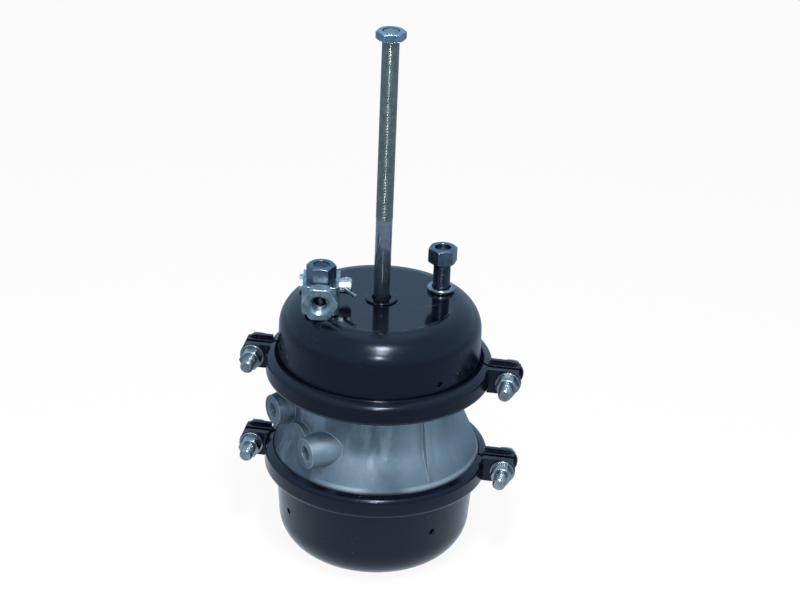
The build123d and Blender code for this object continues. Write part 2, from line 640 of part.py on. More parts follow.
def yoke():
    """Clevis with a threaded boss and two ears, lying with its fork round the left stud."""
    width = YOKE_GAP + 2 * YOKE_EAR
    ears = Box(YOKE_CROTCH + 6 + YOKE_END, width, YOKE_HEIGHT, align=(Align.MIN, Align.CENTER, Align.CENTER))
    ears = Pos(-YOKE_END, 0, 0) * ears
    ears = fillet(ears.edges().filter_by(Axis.Y).group_by(Axis.X)[0], YOKE_HEIGHT / 2 - 0.6)
    ears = fillet(ears.edges().filter_by(Axis.Z).group_by(Axis.X)[-1], 5)
    boss_start = NUT_FLATS / sqrt(3) + YOKE_NUT_ROOM
    boss_length = YOKE_BOSS_FACE - boss_start
    boss = Pos(boss_start, 0, 0) * Rot(0, 90, 0) * (
        extrude(RegularPolygon(YOKE_BOSS_FLATS / 2, 6, major_radius=False, rotation=30), boss_length)
        & Cylinder(YOKE_BOSS_RADIUS, boss_length, align=(Align.CENTER, Align.CENTER, Align.MIN))
    )
    body = ears + boss
    slot = Box(2 * YOKE_END, YOKE_GAP, 2 * YOKE_HEIGHT, align=(Align.MAX, Align.CENTER, Align.CENTER))
    slot = Pos(YOKE_CROTCH, 0, 0) * slot
    thread = Rot(0, 90, 0) * Cylinder(YOKE_THREAD_RADIUS, 2 * YOKE_BOSS_FACE)
    mouth = Pos(YOKE_BOSS_FACE - YOKE_CHAMFER, 0, 0) * Rot(0, 90, 0) * Cone(
        YOKE_THREAD_RADIUS, YOKE_THREAD_RADIUS + YOKE_CHAMFER, YOKE_CHAMFER, align=(Align.CENTER, Align.CENTER, Align.MIN)
    )
    cross = Pos(-YOKE_PIN_BACK, 0, 0) * Rot(90, 0, 0) * Cylinder(YOKE_PIN_RADIUS + RUNNING_GAP, 3 * width)
    return yoke_place() * (body - slot - thread - mouth - cross)


def yoke_pin():
    """Headed pin across the fork, drilled for the split pin; its head is on the left."""
    half = YOKE_GAP / 2 + YOKE_EAR
    pin = turned([
        (0, -half - STATIC_GAP - YOKE_PIN_HEAD), (YOKE_PIN_HEAD_RADIUS, -half - STATIC_GAP - YOKE_PIN_HEAD),
        (YOKE_PIN_HEAD_RADIUS, -half - STATIC_GAP), (YOKE_PIN_RADIUS, -half - STATIC_GAP),
        (YOKE_PIN_RADIUS, half + YOKE_PIN_BEYOND - 1), (YOKE_PIN_RADIUS - 1, half + YOKE_PIN_BEYOND),
        (0, half + YOKE_PIN_BEYOND),
    ])
    hole = Pos(0, 0, half + YOKE_PIN_BEYOND / 2) * Rot(0, 90, 0) * Cylinder(SPLIT_PIN_RADIUS + STATIC_GAP, 40)
    return yoke_place() * Pos(-YOKE_PIN_BACK, 0, 0) * Rot(-90, 0, 0) * (pin - hole)


def split_pin():
    """Split pin through the yoke pin: an eye at the back, and legs bent away from the ear at the front."""
    half = YOKE_GAP / 2 + YOKE_EAR
    reach = YOKE_PIN_RADIUS + SPLIT_PIN_BEYOND
    bar_align = (Align.CENTER, Align.CENTER, Align.MIN)
    shank = Pos(-reach, 0, 0) * Rot(0, 90, 0) * Cylinder(SPLIT_PIN_RADIUS, 2 * reach, align=bar_align)
    knee = Pos(reach, 0, 0) * Sphere(SPLIT_PIN_RADIUS)
    leg = Pos(reach, 0, 0) * Rot(0, 0, SPLIT_PIN_BEND) * Rot(0, 90, 0) * Cylinder(
        SPLIT_PIN_RADIUS, SPLIT_PIN_LEG, align=bar_align
    )
    eye = Pos(-reach - SPLIT_PIN_EYE, 0, 0) * Torus(SPLIT_PIN_EYE, SPLIT_PIN_RADIUS)
    place = yoke_place() * Pos(-YOKE_PIN_BACK, half + YOKE_PIN_BEYOND / 2, 0)
    return place * (shank + knee + leg + eye)


def dust_plug():
    """Rubber plug in the caging hole, inside the dished bottom."""
    base = CAGING_DISH_DEPTH
    inside = base + SHELL_WALL
    neck = CAGING_HOLE_RADIUS - SEAT_GAP
    return turned(
        [
            (0, base - SEAT_GAP - PLUG_FLANGE_THICKNESS), (PLUG_FLANGE_RADIUS, base - SEAT_GAP - PLUG_FLANGE_THICKNESS),
            (PLUG_FLANGE_RADIUS, base - SEAT_GAP), (neck, base - SEAT_GAP), (neck, inside + SEAT_GAP),
            (PLUG_LIP_RADIUS, inside + SEAT_GAP), (neck - 1, inside + SEAT_GAP + PLUG_LIP_HEIGHT),
            (0, inside + SEAT_GAP + PLUG_LIP_HEIGHT),
        ],
        [(1, 0.8)],
    )


def main():
    """Builds and writes every sub-part."""
    save("service_housing", service_housing())
    save("spring_housing", spring_housing())
    save("flange_case", flange_case())
    save("service_clamp_front", clamp_half(SERVICE_CLAMP_Z, SPLIT_ANGLE))
    save("service_clamp_rear", clamp_half(SERVICE_CLAMP_Z, SPLIT_ANGLE - HALF_TURN))
    save("spring_clamp_front", clamp_half(SPRING_CLAMP_Z, SPLIT_ANGLE))
    save("spring_clamp_rear", clamp_half(SPRING_CLAMP_Z, SPLIT_ANGLE - HALF_TURN))
    save("clamp_bolts", clamp_bolts())
    save("clamp_nuts", clamp_nuts())
    save("clamp_washers", clamp_washers())
    save("service_diaphragm", diaphragm(SERVICE_CLAMP_Z, 68.0, ADAPTER_TOP_Z + SOFT_GAP))
    save("spring_diaphragm", diaphragm(SPRING_CLAMP_Z, 66.0, PRESSURE_PLATE_TOP + SOFT_GAP))
    bush_bottom = BASE_POCKET_TOP + SEAL_HEIGHT + 0.3
    seal_top = bush_bottom + BUSH_HEIGHT + SEAL_HEIGHT
    bush_outer = CENTRE_BORE_RADIUS - STATIC_GAP
    seal_bore = ADAPTER_ROD_RADIUS + STATIC_GAP
    save("guide_bush", disc(bush_outer, bush_bottom, bush_bottom + BUSH_HEIGHT, ADAPTER_ROD_RADIUS + RUNNING_GAP))
    lower_seal = disc(bush_outer, bush_bottom - SEAL_HEIGHT, bush_bottom - STATIC_GAP, seal_bore)
    upper_seal = disc(bush_outer, bush_bottom + BUSH_HEIGHT + STATIC_GAP, seal_top, seal_bore)
    save("rod_seals", Compound(children=[lower_seal, upper_seal]))
    ring_bottom = seal_top + STATIC_GAP
    save("snap_ring", disc(bush_outer, ring_bottom, ring_bottom + SNAP_RING_THICKNESS, ADAPTER_ROD_RADIUS + 1.2))
    save("adapter_rod", adapter_rod())
    save("pressure_plate", pressure_plate())
    save("power_spring", coil_spring(
        POWER_WIRE, POWER_BOTTOM_RADIUS, POWER_TOP_RADIUS, SHELL_WALL + 0.3,
        PRESSURE_PLATE_TOP - PRESSURE_PLATE_THICKNESS - 0.3, POWER_TURNS,
    ))
    save("return_spring", coil_spring(
        RETURN_WIRE, RETURN_BOTTOM_RADIUS, RETURN_BOTTOM_RADIUS, PUSH_PLATE_Z + PUSH_PLATE_THICKNESS + 0.3,
        DOME_INSIDE - 0.3, RETURN_TURNS,
    ))
    save("push_rod", push_rod())
    save("push_plate", push_plate())
    jam_nut = hex_block(NUT_FLATS, JAM_NUT_HEIGHT, PUSH_ROD_TIP_RADIUS + 0.28)
    save("jam_nut", Pos(0, 0, ROD_TIP_Z - JAM_NUT_HEIGHT) * Rot(0, 0, 12) * jam_nut)
    save("dust_ring", dust_ring())
    save("left_stud", stud(-1, LEFT_STUD_TIP_DEPTH))
    save("right_stud", stud(1, RIGHT_STUD_TIP_DEPTH))
    save("left_stud_nut", stud_nut(-1, -25))
    save("right_stud_nut", stud_nut(1, -11))
    save("stud_washer", stud_washer())
    save("yoke", yoke())
    save("yoke_pin", yoke_pin())
    save("split_pin", split_pin())
    save("dust_plug", dust_plug())


main()
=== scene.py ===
"""Looks of the double-diaphragm brake chamber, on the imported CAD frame. Metres, +Z up."""

import math

import bmesh
import bpy
from mathutils import Matrix, Vector

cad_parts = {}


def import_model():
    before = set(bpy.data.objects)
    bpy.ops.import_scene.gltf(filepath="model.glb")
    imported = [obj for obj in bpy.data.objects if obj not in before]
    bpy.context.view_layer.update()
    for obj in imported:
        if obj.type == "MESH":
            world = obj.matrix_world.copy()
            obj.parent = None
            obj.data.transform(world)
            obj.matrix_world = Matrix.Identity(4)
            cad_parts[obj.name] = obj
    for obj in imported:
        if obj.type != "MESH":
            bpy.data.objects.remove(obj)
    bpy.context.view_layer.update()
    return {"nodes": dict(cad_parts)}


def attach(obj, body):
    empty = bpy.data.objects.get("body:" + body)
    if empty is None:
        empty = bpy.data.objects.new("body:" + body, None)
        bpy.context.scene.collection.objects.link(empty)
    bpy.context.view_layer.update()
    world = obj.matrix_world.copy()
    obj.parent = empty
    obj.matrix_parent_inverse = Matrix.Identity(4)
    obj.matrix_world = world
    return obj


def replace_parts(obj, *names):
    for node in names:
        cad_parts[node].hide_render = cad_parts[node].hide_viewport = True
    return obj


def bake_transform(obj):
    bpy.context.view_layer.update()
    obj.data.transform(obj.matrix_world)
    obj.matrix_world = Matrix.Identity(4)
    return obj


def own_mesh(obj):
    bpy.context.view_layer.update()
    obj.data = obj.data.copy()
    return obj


MM = 0.001

# Camera, solved from the photograph
CAMERA_AZIMUTH = math.radians(-113.6)
CAMERA_ELEVATION = math.radians(26.0)
CAMERA_ROLL = math.radians(2.35)
CAMERA_DISTANCE = 2.145
CAMERA_TARGET = Vector((0.01585, -0.00693, 0.2573))
CAMERA_LENS = 104.09
CAMERA_CLIP = (0.05, 60.0)
SENSOR_WIDTH = 36.0

# Lamps: name, azimuth and elevation in degrees, distance, width and height in metres, power in watts
LAMPS = (
    ("flash", -113.2, 26.4, 2.3, 0.10, 0.17, 13),
    ("fill_lamp", -110.5, 46, 1.7, 0.22, 0.60, 9),
    ("key_lamp", -108.5, 61, 1.6, 0.24, 0.40, 15),
    ("back_lamp", 66, 72, 2.2, 1.6, 1.6, 3),
)
LAMP_AIM = Vector((0, 0, 0.2))

# The floor's height, just under the part so that the flat foot isn't in its plane, and half its side
FLOOR_Z = -0.0005
FLOOR_REACH = 20.0

# Places of a colour Mix node's sockets
MIX_MASK = 0
MIX_FIRST = 6
MIX_SECOND = 7
MIX_RESULT = 2

# Quality of the rounded edges
BEVEL_SAMPLES = 4

# Push rod, from the CAD, in millimetres like all sizes that aren't said to be in metres;
# SHANK_END is where the shank's finish ends
ROD_SHANK_RADIUS = 7.65
ROD_THREAD_RADIUS = 7.95
ROD_THREAD_START = 340.0
ROD_TIP = 520.0
ROD_FOOT = 222.5
ROD_TIP_INSET = 0.1
ROD_CHAMFER_DROP = 1.2
ROD_CHAMFER = 1.0
SHANK_END = 338.0

# Degrees that bring a flat of the jam nut to the camera
JAM_NUT_TURN = 30.0

# Studs, from the CAD
STUD_X = 60.325
STUD_CORE_RADIUS = 7.8
STUD_THREAD_BOTTOM = 259.5
STUD_THREAD_TOP = 286.8

# Clamp bolts, from the CAD: heights, then angle in degrees, distance from the axis and side of each ear
EAR_LEVELS = (190.5, 96.0)
EAR_BOLTS = ((148.0, 119.0, 1), (-32.0, 123.6, -1))
CLAMP_CORE_RADIUS = 5.9
CLAMP_THREAD_START = 25.1
CLAMP_THREAD_LENGTH = 11.6

# Threads: pitches, points per turn, ridge heights, half a ridge's width as a share of the pitch,
# and the bare length at a thread's end
FINE_PITCH = 1.5
CLAMP_PITCH = 1.75
THREAD_POINTS = 24
DEEP_RIDGE = 0.45
SHALLOW_RIDGE = 0.35
RIDGE_HALF_WIDTH = 0.46
RUN_OUT = 1.5

# Air ports and the yoke's bore, from the CAD; the port heights go by the side that each port is on,
# and the depths are those that have a thread
PORT_ANGLE = -171.6
PORT_OFFSET = 32.0
PORT_FACE = 95.5
PORT_LEVELS = {1: 134.0, -1: 148.5}
PORT_THREAD_RADIUS = 7.25
PORT_THREAD_DEPTH = 14.0
YOKE_AXIS_Z = 273.1
YOKE_ANGLE = -113.6
YOKE_BORE_RADIUS = 7.25
YOKE_THREAD_START = 13.0
YOKE_THREAD_END = 23.6

# Height of the lighter rim at the casting's lower edge, a machined rim whose brightness is partly a
# painted highlight, in metres
CASTING_RIM_Z = 0.1088

# Painted highlight: a lighter ring where the dome's flat top turns down; and the height of that smoother
# top, in metres
DOME_EDGE_RADIUS = 0.0668
DOME_EDGE_WIDTH = 0.0008
DOME_EDGE_SOFT = 0.0006
DOME_EDGE_Z = 0.25
FLAT_TOP_Z = 0.2572

# Which finish every CAD node gets
FINISHED_NODES = {
    "paint": (
        "service_housing", "spring_housing", "service_clamp_front", "service_clamp_rear",
        "spring_clamp_front", "spring_clamp_rear", "dust_ring",
    ),
    "casting": ("flange_case",),
    "zinc": ("clamp_bolts", "clamp_nuts", "clamp_washers", "stud_washer"),
    "yoke_zinc": ("yoke",),
    "pin_zinc": ("yoke_pin", "split_pin"),
    "nut_zinc": ("left_stud_nut", "right_stud_nut"),
    "blue_zinc": ("jam_nut",),
    "dark_steel": ("left_stud", "right_stud"),
    "rod_zinc": ("push_rod",),
    "spring_steel": ("power_spring", "return_spring", "snap_ring"),
    "turned_steel": ("adapter_rod", "pressure_plate", "push_plate"),
    "rubber": ("service_diaphragm", "spring_diaphragm", "rod_seals", "dust_plug"),
    "plastic": ("guide_bush",),
}


class Socket:
    """A node's output; Python arithmetic on it adds Math nodes to its graph."""

    def __init__(self, graph, socket):
        self.graph = graph
        self.socket = socket

    def math(self, operation, *operands):
        """One Math node on these operands."""
        return self.graph.add("ShaderNodeMath", {"operation": operation}, operands)

    def __add__(self, other):
        return self.math("ADD", self, other)

    __radd__ = __add__

    def __sub__(self, other):
        return self.math("SUBTRACT", self, other)

    def __rsub__(self, other):
        return self.math("SUBTRACT", other, self)

    def __mul__(self, other):
        return self.math("MULTIPLY", self, other)

    __rmul__ = __mul__

    def above(self, edge, soft):
        """Rises from 0 to 1 as this value passes an edge, over a soft width."""
        settings = {"interpolation_type": "SMOOTHSTEP"}
        reach = {"Value": self, "From Min": edge, "From Max": edge + soft}
        return self.graph.add("ShaderNodeMapRange", settings, reach)


class Graph:
    """A node tree with one method that adds any node."""

    def __init__(self, tree):
        self.tree = tree

    def add(self, kind, settings=(), values=(), output=0):
        """Adds a node: its settings, then the values or links of its sockets, by name or place."""
        node = self.tree.nodes.new(kind)
        for name, value in dict(settings).items():
            setattr(node, name, value)
        items = values.items() if isinstance(values, dict) else enumerate(values)
        for key, value in items:
            if isinstance(value, Socket):
                self.tree.links.new(value.socket, node.inputs[key])
            else:
                node.inputs[key].default_value = value
        return Socket(self, node.outputs[output]) if len(node.outputs) else None

    def colour(self, mask, first, second):
        """A colour between two, by a mask."""
        values = {MIX_MASK: mask, MIX_FIRST: first, MIX_SECOND: second}
        return self.add("ShaderNodeMix", {"data_type": "RGBA"}, values, MIX_RESULT)

    def ray(self, kind):
        """1 for light paths of a kind, such as Is Camera Ray, else 0."""
        return self.add("ShaderNodeLightPath", output=kind)

    def length(self, vector):
        """Length of a vector."""
        return self.add("ShaderNodeVectorMath", {"operation": "LENGTH"}, (vector,), "Value")


class Finish(Graph):
    """A material on Object coordinates."""

    def __init__(self, name):
        self.material = bpy.data.materials.new(name)
        self.material.use_nodes = True
        super().__init__(self.material.node_tree)
        self.tree.nodes.clear()
        self.point = self.add("ShaderNodeTexCoord", output="Object")

    def stretched(self, x, y, z):
        """Object coordinates scaled differently along each axis."""
        return self.add("ShaderNodeMapping", {}, {"Vector": self.point, "Scale": (x, y, z)})

    def noise(self, scale, detail=2.0, roughness=0.5, vector=None):
        """Noise from 0 to 1, with its size as repeats per metre."""
        values = {"Vector": vector or self.point, "Scale": scale, "Detail": detail, "Roughness": roughness}
        return self.add("ShaderNodeTexNoise", {}, values, "Fac")

    def cells(self, scale):
        """Distance to the nearest of scattered points."""
        return self.add("ShaderNodeTexVoronoi", {}, {"Vector": self.point, "Scale": scale}, "Distance")

    def height(self):
        """Height above the floor, in metres."""
        return self.add("ShaderNodeSeparateXYZ", {}, (self.point,), "Z")

    def soft_edges(self, radius):
        """The surface normal with edges rounded to a radius."""
        return self.add("ShaderNodeBevel", {"samples": BEVEL_SAMPLES}, {"Radius": radius})

    def wear_and_sheen_edges(self, rounded):
        """1 on sharp edges and 0 on open faces, from the rounded normal."""
        flat = self.add("ShaderNodeNewGeometry", output="Normal")
        match = self.add("ShaderNodeVectorMath", {"operation": "DOT_PRODUCT"}, (rounded, flat), "Value")
        return (1 - match).above(0.03, 0.12)

    def bump(self, height, distance, strength, normal=None):
        """A normal that follows a height pattern."""
        values = {"Height": height, "Distance": distance, "Strength": strength}
        if normal is not None:
            values["Normal"] = normal
        return self.add("ShaderNodeBump", {}, values)

    def surface(self, **values):
        """The Principled shader and the output; underscores in names stand for spaces."""
        named = {name.replace("_", " "): value for name, value in values.items()}
        shader = self.add("ShaderNodeBsdfPrincipled", {}, named)
        self.add("ShaderNodeOutputMaterial", {}, {"Surface": shader})
        return self.material


def rgb(red, green, blue):
    """A linear colour with full alpha."""
    return (red, green, blue, 1.0)


def gloss_black(name):
    """Glossy blue-black paint on pressed steel, with faint orange peel, dust, hairline scratches and a
    painted highlight ring at the edge of the flat top.
    """
    paint = Finish(name)
    peel = paint.noise(160, 2.0)
    grain = paint.noise(2400, 1.0)
    haze = paint.noise(18, 3.0, 0.6)
    hairs = paint.noise(260, 4.0, 0.7, paint.stretched(0.12, 1.0, 0.5))
    scratch = hairs.above(0.665, 0.02) * paint.noise(22, 1.0).above(0.52, 0.1)
    dust = 1 - paint.cells(320).above(0.06, 0.05)
    specks = dust * paint.noise(45, 1.0).above(0.58, 0.06)
    rounded = paint.soft_edges(0.0005)
    chips = paint.wear_and_sheen_edges(rounded) * paint.noise(90, 3.0, 0.6).above(0.52, 0.12)
    marks = paint.colour(scratch * 0.45, rgb(0.0020, 0.0024, 0.0062), rgb(0.07, 0.085, 0.10))
    dusty = paint.colour(specks * 0.25, marks, rgb(0.12, 0.14, 0.16))
    chipped = paint.colour(chips * 0.35, dusty, rgb(0.09, 0.10, 0.12))
    # Painted highlight: a lighter ring where the flat top turns down, broken up by noise
    radius = paint.length(paint.stretched(1, 1, 0))
    outside = radius.above(DOME_EDGE_RADIUS, DOME_EDGE_SOFT)
    ring = outside * (1 - radius.above(DOME_EDGE_RADIUS + DOME_EDGE_WIDTH, DOME_EDGE_SOFT))
    edge_highlight = ring * paint.height().above(DOME_EDGE_Z, 0.001) * paint.noise(30, 2.0).above(0.50, 0.08)
    tone = paint.colour(edge_highlight * 0.4, chipped, rgb(0.10, 0.13, 0.16))
    wear = 0.25 * scratch + 0.25 * specks + 0.2 * chips
    smooth_top = paint.height().above(FLAT_TOP_Z, 0.0006)
    rough = 0.195 + 0.07 * haze.above(0.35, 0.4) + wear - 0.115 * smooth_top
    shape = paint.bump(grain, 0.00002, 0.25, rounded)
    return paint.surface(
        Base_Color=tone, Roughness=rough, Normal=paint.bump(peel, 0.0005, 0.10, shape),
        IOR=1.40, Specular_Tint=rgb(0.70, 0.80, 1.0),
    )


def cast_aluminium(name):
    """Bare sand-cast aluminium: matt grain, mottled tone, painted reflection patches, painted shade
    towards the bottom, and a brighter lower rim and edges, partly wear and partly painted highlight.
    """
    metal = Finish(name)
    grain = metal.noise(900, 3.0, 0.6)
    pits = 1 - metal.cells(520).above(0.10, 0.12)
    mottle = metal.noise(28, 4.0, 0.6)
    streak = metal.noise(60, 3.0, 0.6, metal.stretched(1.0, 1.0, 0.25))
    # Painted reflection: large vertical patches of lighter tone across the casting
    sheen_patches = metal.noise(11, 2.0, 0.4, metal.stretched(1.0, 1.0, 0.45))
    body = metal.colour(mottle.above(0.3, 0.4), rgb(0.075, 0.112, 0.140), rgb(0.140, 0.192, 0.230))
    lit = metal.colour(sheen_patches.above(0.38, 0.20) * 0.75, body, rgb(0.255, 0.335, 0.385))
    tone = metal.colour(streak.above(0.50, 0.22) * 0.45, lit, rgb(0.33, 0.41, 0.46))
    # Painted shade: darker towards the bottom of the casting
    painted_low_shade = (1 - metal.height().above(0.112, 0.025)) * (0.25 + 0.35 * mottle)
    low_shaded = metal.colour(painted_low_shade, tone, rgb(0.06, 0.08, 0.10))
    spotted = metal.colour(pits * 0.35, low_shaded, rgb(0.05, 0.065, 0.08))
    rounded = metal.soft_edges(0.0013)
    # Machined rim at the lower edge, lightened in patches as a painted highlight
    rim = (1 - metal.height().above(CASTING_RIM_Z, 0.0012)) * sheen_patches.above(0.42, 0.16)
    rimmed = metal.colour(rim * 0.6, spotted, rgb(0.40, 0.46, 0.50))
    # Brighter edges, partly wear and partly painted highlight
    edged = metal.colour(metal.wear_and_sheen_edges(rounded) * 0.7, rimmed, rgb(0.48, 0.55, 0.59))
    shape = metal.bump(metal.noise(240, 2.0), 0.0006, 0.25, rounded)
    return metal.surface(
        Base_Color=edged, Metallic=0.75, Roughness=0.45 + 0.15 * grain,
        Normal=metal.bump(grain, 0.00022, 0.55, shape),
    )


def plated(name, light, dark, rough):
    """Zinc plating or dark steel with a cloudy film and brighter edges, partly wear and partly painted
    highlight.
    """
    metal = Finish(name)
    cloud = metal.noise(140, 3.0, 0.6)
    spots = 1 - metal.cells(700).above(0.12, 0.1)
    tone = metal.colour(cloud.above(0.35, 0.3), dark, light)
    rounded = metal.soft_edges(0.0008)
    # Brighter edges, partly wear and partly painted highlight
    bright = rgb(*[min(1.0, 2.2 * c + 0.1) for c in light[:3]])
    edge_wear_and_highlight = metal.wear_and_sheen_edges(rounded) * 0.7
    edged = metal.colour(edge_wear_and_highlight, metal.colour(spots * 0.15, tone, bright), bright)
    shape = metal.bump(metal.noise(1400, 2.0), 0.00004, 0.3, rounded)
    return metal.surface(
        Base_Color=edged, Metallic=1.0, Roughness=rough + 0.12 * cloud + 0.1 * spots, Normal=shape,
    )


def rod_plating(name):
    """Plated rod: bluish, clear-coated drawn shank with fine rings below, greener thread above."""
    metal = Finish(name)
    cloud = metal.noise(140, 3.0, 0.6)
    spots = 1 - metal.cells(700).above(0.12, 0.1)
    thread = metal.height().above(SHANK_END * MM, 0.001)
    shank_tone = metal.colour(cloud.above(0.35, 0.3), rgb(0.100, 0.140, 0.178), rgb(0.140, 0.190, 0.232))
    thread_tone = metal.colour(cloud.above(0.35, 0.3), rgb(0.125, 0.160, 0.148), rgb(0.180, 0.220, 0.205))
    tone = metal.colour(thread, shank_tone, thread_tone)
    spotted = metal.colour(spots * 0.2, tone, rgb(0.40, 0.46, 0.48))
    drawn = metal.noise(1.0, 1.0, 0.5, metal.stretched(20, 20, 1200))
    fine = metal.bump(metal.noise(1400, 2.0), 0.00002, 0.15)
    return metal.surface(
        Base_Color=spotted, Metallic=0.8, Roughness=0.40 - 0.22 * thread + 0.08 * cloud,
        Coat_Weight=1 - thread, Coat_Roughness=0.05, Coat_IOR=2.0,
        Normal=metal.bump(drawn * (1 - thread), 0.00003, 0.4, fine),
    )


def machined(name, base, rough):
    """Turned steel with fine rings along its height."""
    metal = Finish(name)
    rings = metal.noise(1.0, 1.0, 0.5, metal.stretched(20, 20, 2600))
    shade = rgb(*[c * 0.72 for c in base[:3]])
    tone = metal.colour(metal.noise(90, 3.0).above(0.35, 0.35), base, shade)
    shape = metal.bump(rings, 0.00004, 0.35, metal.soft_edges(0.0004))
    return metal.surface(Base_Color=tone, Metallic=1.0, Roughness=rough + 0.12 * rings, Normal=shape)


def dull_rubber(name):
    """Moulded black rubber with a fine cloth-like grain."""
    rubber = Finish(name)
    grain = rubber.noise(1500, 2.0)
    bloom = rubber.noise(40, 3.0, 0.6)
    tone = rubber.colour(bloom.above(0.4, 0.35), rgb(0.010, 0.010, 0.011), rgb(0.024, 0.024, 0.025))
    shape = rubber.bump(grain, 0.00008, 0.4)
    return rubber.surface(Base_Color=tone, Roughness=0.62 + 0.2 * bloom, Normal=shape)


def moulded_plastic(name):
    """Pale moulded bearing plastic."""
    plastic = Finish(name)
    cloud = plastic.noise(120, 2.0)
    tone = plastic.colour(cloud, rgb(0.52, 0.50, 0.42), rgb(0.62, 0.60, 0.52))
    shape = plastic.bump(cloud, 0.00005, 0.3)
    return plastic.surface(Base_Color=tone, Roughness=0.4 + 0.1 * cloud, Normal=shape)


def make_finishes():
    """All the materials of the part, by short names."""
    return {
        "paint": gloss_black("gloss_black_paint"),
        "casting": cast_aluminium("cast_aluminium"),
        "zinc": plated("zinc_plating", rgb(0.34, 0.37, 0.38), rgb(0.20, 0.225, 0.235), 0.20),
        "yoke_zinc": plated("yoke_plating", rgb(0.33, 0.41, 0.42), rgb(0.20, 0.26, 0.27), 0.24),
        "pin_zinc": plated("pin_plating", rgb(0.46, 0.51, 0.53), rgb(0.30, 0.34, 0.36), 0.22),
        "rod_zinc": rod_plating("rod_plating"),
        "nut_zinc": plated("nut_plating", rgb(0.130, 0.172, 0.215), rgb(0.085, 0.118, 0.155), 0.24),
        "blue_zinc": plated("blue_nut_plating", rgb(0.23, 0.35, 0.41), rgb(0.16, 0.255, 0.31), 0.22),
        "dark_steel": plated("dark_stud_steel", rgb(0.062, 0.072, 0.100), rgb(0.034, 0.041, 0.060), 0.28),
        "spring_steel": plated("spring_steel", rgb(0.12, 0.12, 0.13), rgb(0.07, 0.07, 0.08), 0.35),
        "turned_steel": machined("turned_steel", rgb(0.50, 0.52, 0.54), 0.28),
        "rubber": dull_rubber("black_rubber"),
        "plastic": moulded_plastic("bearing_plastic"),
    }


def thread_tree():
    """Geometry Nodes: a helical ridge set at every point of the input, turned by the point's turn."""
    tree = bpy.data.node_groups.new("helical_thread", "GeometryNodeTree")
    face = tree.interface
    face.new_socket("Geometry", in_out="INPUT", socket_type="NodeSocketGeometry")
    sockets = {}
    for name in ("Radius", "Pitch", "Length", "Depth"):
        size = face.new_socket(name, in_out="INPUT", socket_type="NodeSocketFloat")
        sockets[name] = size.identifier
    coating = face.new_socket("Finish", in_out="INPUT", socket_type="NodeSocketMaterial")
    sockets["Finish"] = coating.identifier
    face.new_socket("Geometry", in_out="OUTPUT", socket_type="NodeSocketGeometry")
    graph = Graph(tree)
    entry = tree.nodes.new("NodeGroupInput")
    given = {out.name: Socket(graph, out) for out in entry.outputs if out.name}
    turns = graph.add("ShaderNodeMath", {"operation": "DIVIDE"}, (given["Length"], given["Pitch"]))
    spiral = graph.add("GeometryNodeCurveSpiral", {}, {
        "Resolution": THREAD_POINTS, "Rotations": turns, "Start Radius": given["Radius"],
        "End Radius": given["Radius"], "Height": given["Length"],
    })
    upright = graph.add("GeometryNodeSetCurveNormal", {"mode": "Z_UP"}, {"Curve": spiral})
    half = given["Pitch"] * RIDGE_HALF_WIDTH
    ridge = graph.add("GeometryNodeCurvePrimitiveQuadrilateral", {"mode": "KITE"}, {
        "Width": given["Depth"] * 2.0, "Bottom Height": half, "Top Height": half,
    })
    swept = graph.add("GeometryNodeCurveToMesh", {}, {
        "Curve": upright, "Profile Curve": ridge, "Fill Caps": True,
    })
    turn = graph.add("GeometryNodeInputNamedAttribute", {"data_type": "FLOAT_VECTOR"}, {"Name": "turn"})
    placed = graph.add("GeometryNodeInstanceOnPoints", {}, {
        "Points": given["Geometry"], "Instance": swept, "Rotation": turn,
    })
    solid = graph.add("GeometryNodeRealizeInstances", {}, {"Geometry": placed})
    coat = {"Geometry": solid, "Material": given["Finish"]}
    painted = graph.add("GeometryNodeSetMaterial", {}, coat)
    graph.add("NodeGroupOutput", {}, (painted,))
    return tree, sockets


def frozen(holder):
    """The evaluated mesh of an object, which is then removed."""
    bpy.context.view_layer.update()
    evaluated = holder.evaluated_get(bpy.context.evaluated_depsgraph_get())
    shape = bpy.data.meshes.new_from_object(evaluated)
    bpy.data.objects.remove(holder)
    return shape


def thread_ridges(tree, sockets, places, radius, pitch, length, depth, finish):
    """Mesh of helical ridges, one at each place: matrices whose Z is the thread's axis. Sizes in mm."""
    mesh = bpy.data.meshes.new("thread_places")
    mesh.from_pydata([place.translation for place in places], [], [])
    turn = mesh.attributes.new("turn", "FLOAT_VECTOR", "POINT")
    for entry, place in zip(turn.data, places):
        entry.vector = place.to_euler()
    holder = bpy.data.objects.new("thread_places", mesh)
    bpy.context.scene.collection.objects.link(holder)
    modifier = holder.modifiers.new("thread", "NODES")
    modifier.node_group = tree
    sizes = {"Radius": radius * MM, "Pitch": pitch * MM, "Length": length * MM, "Depth": depth * MM}
    for name, value in {**sizes, "Finish": finish}.items():
        modifier[sockets[name]] = value
    return frozen(holder)


def show(name, mesh, finish):
    """An object with this mesh, all in one finish."""
    mesh.materials.clear()
    mesh.materials.append(finish)
    shown = bpy.data.objects.new(name, mesh)
    bpy.context.scene.collection.objects.link(shown)
    return shown


def piece(name, body, slot, finish, *meshes):
    """One object from one or more meshes, riding on a body."""
    joined = bmesh.new()
    for mesh in meshes:
        joined.from_mesh(mesh)
    bmesh.ops.recalc_face_normals(joined, faces=joined.faces)
    mesh = bpy.data.meshes.new(name)
    joined.to_mesh(mesh)
    joined.free()
    shown = show(name, mesh, finish)
    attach(shown, body)
    return shown


def stand_in(frame, node, name, finish):
    """A copy of a CAD node's mesh as a piece of its own, shown in place of the node."""
    shown = show(name, frame["nodes"][node].data.copy(), finish)
    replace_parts(shown, node)
    return shown


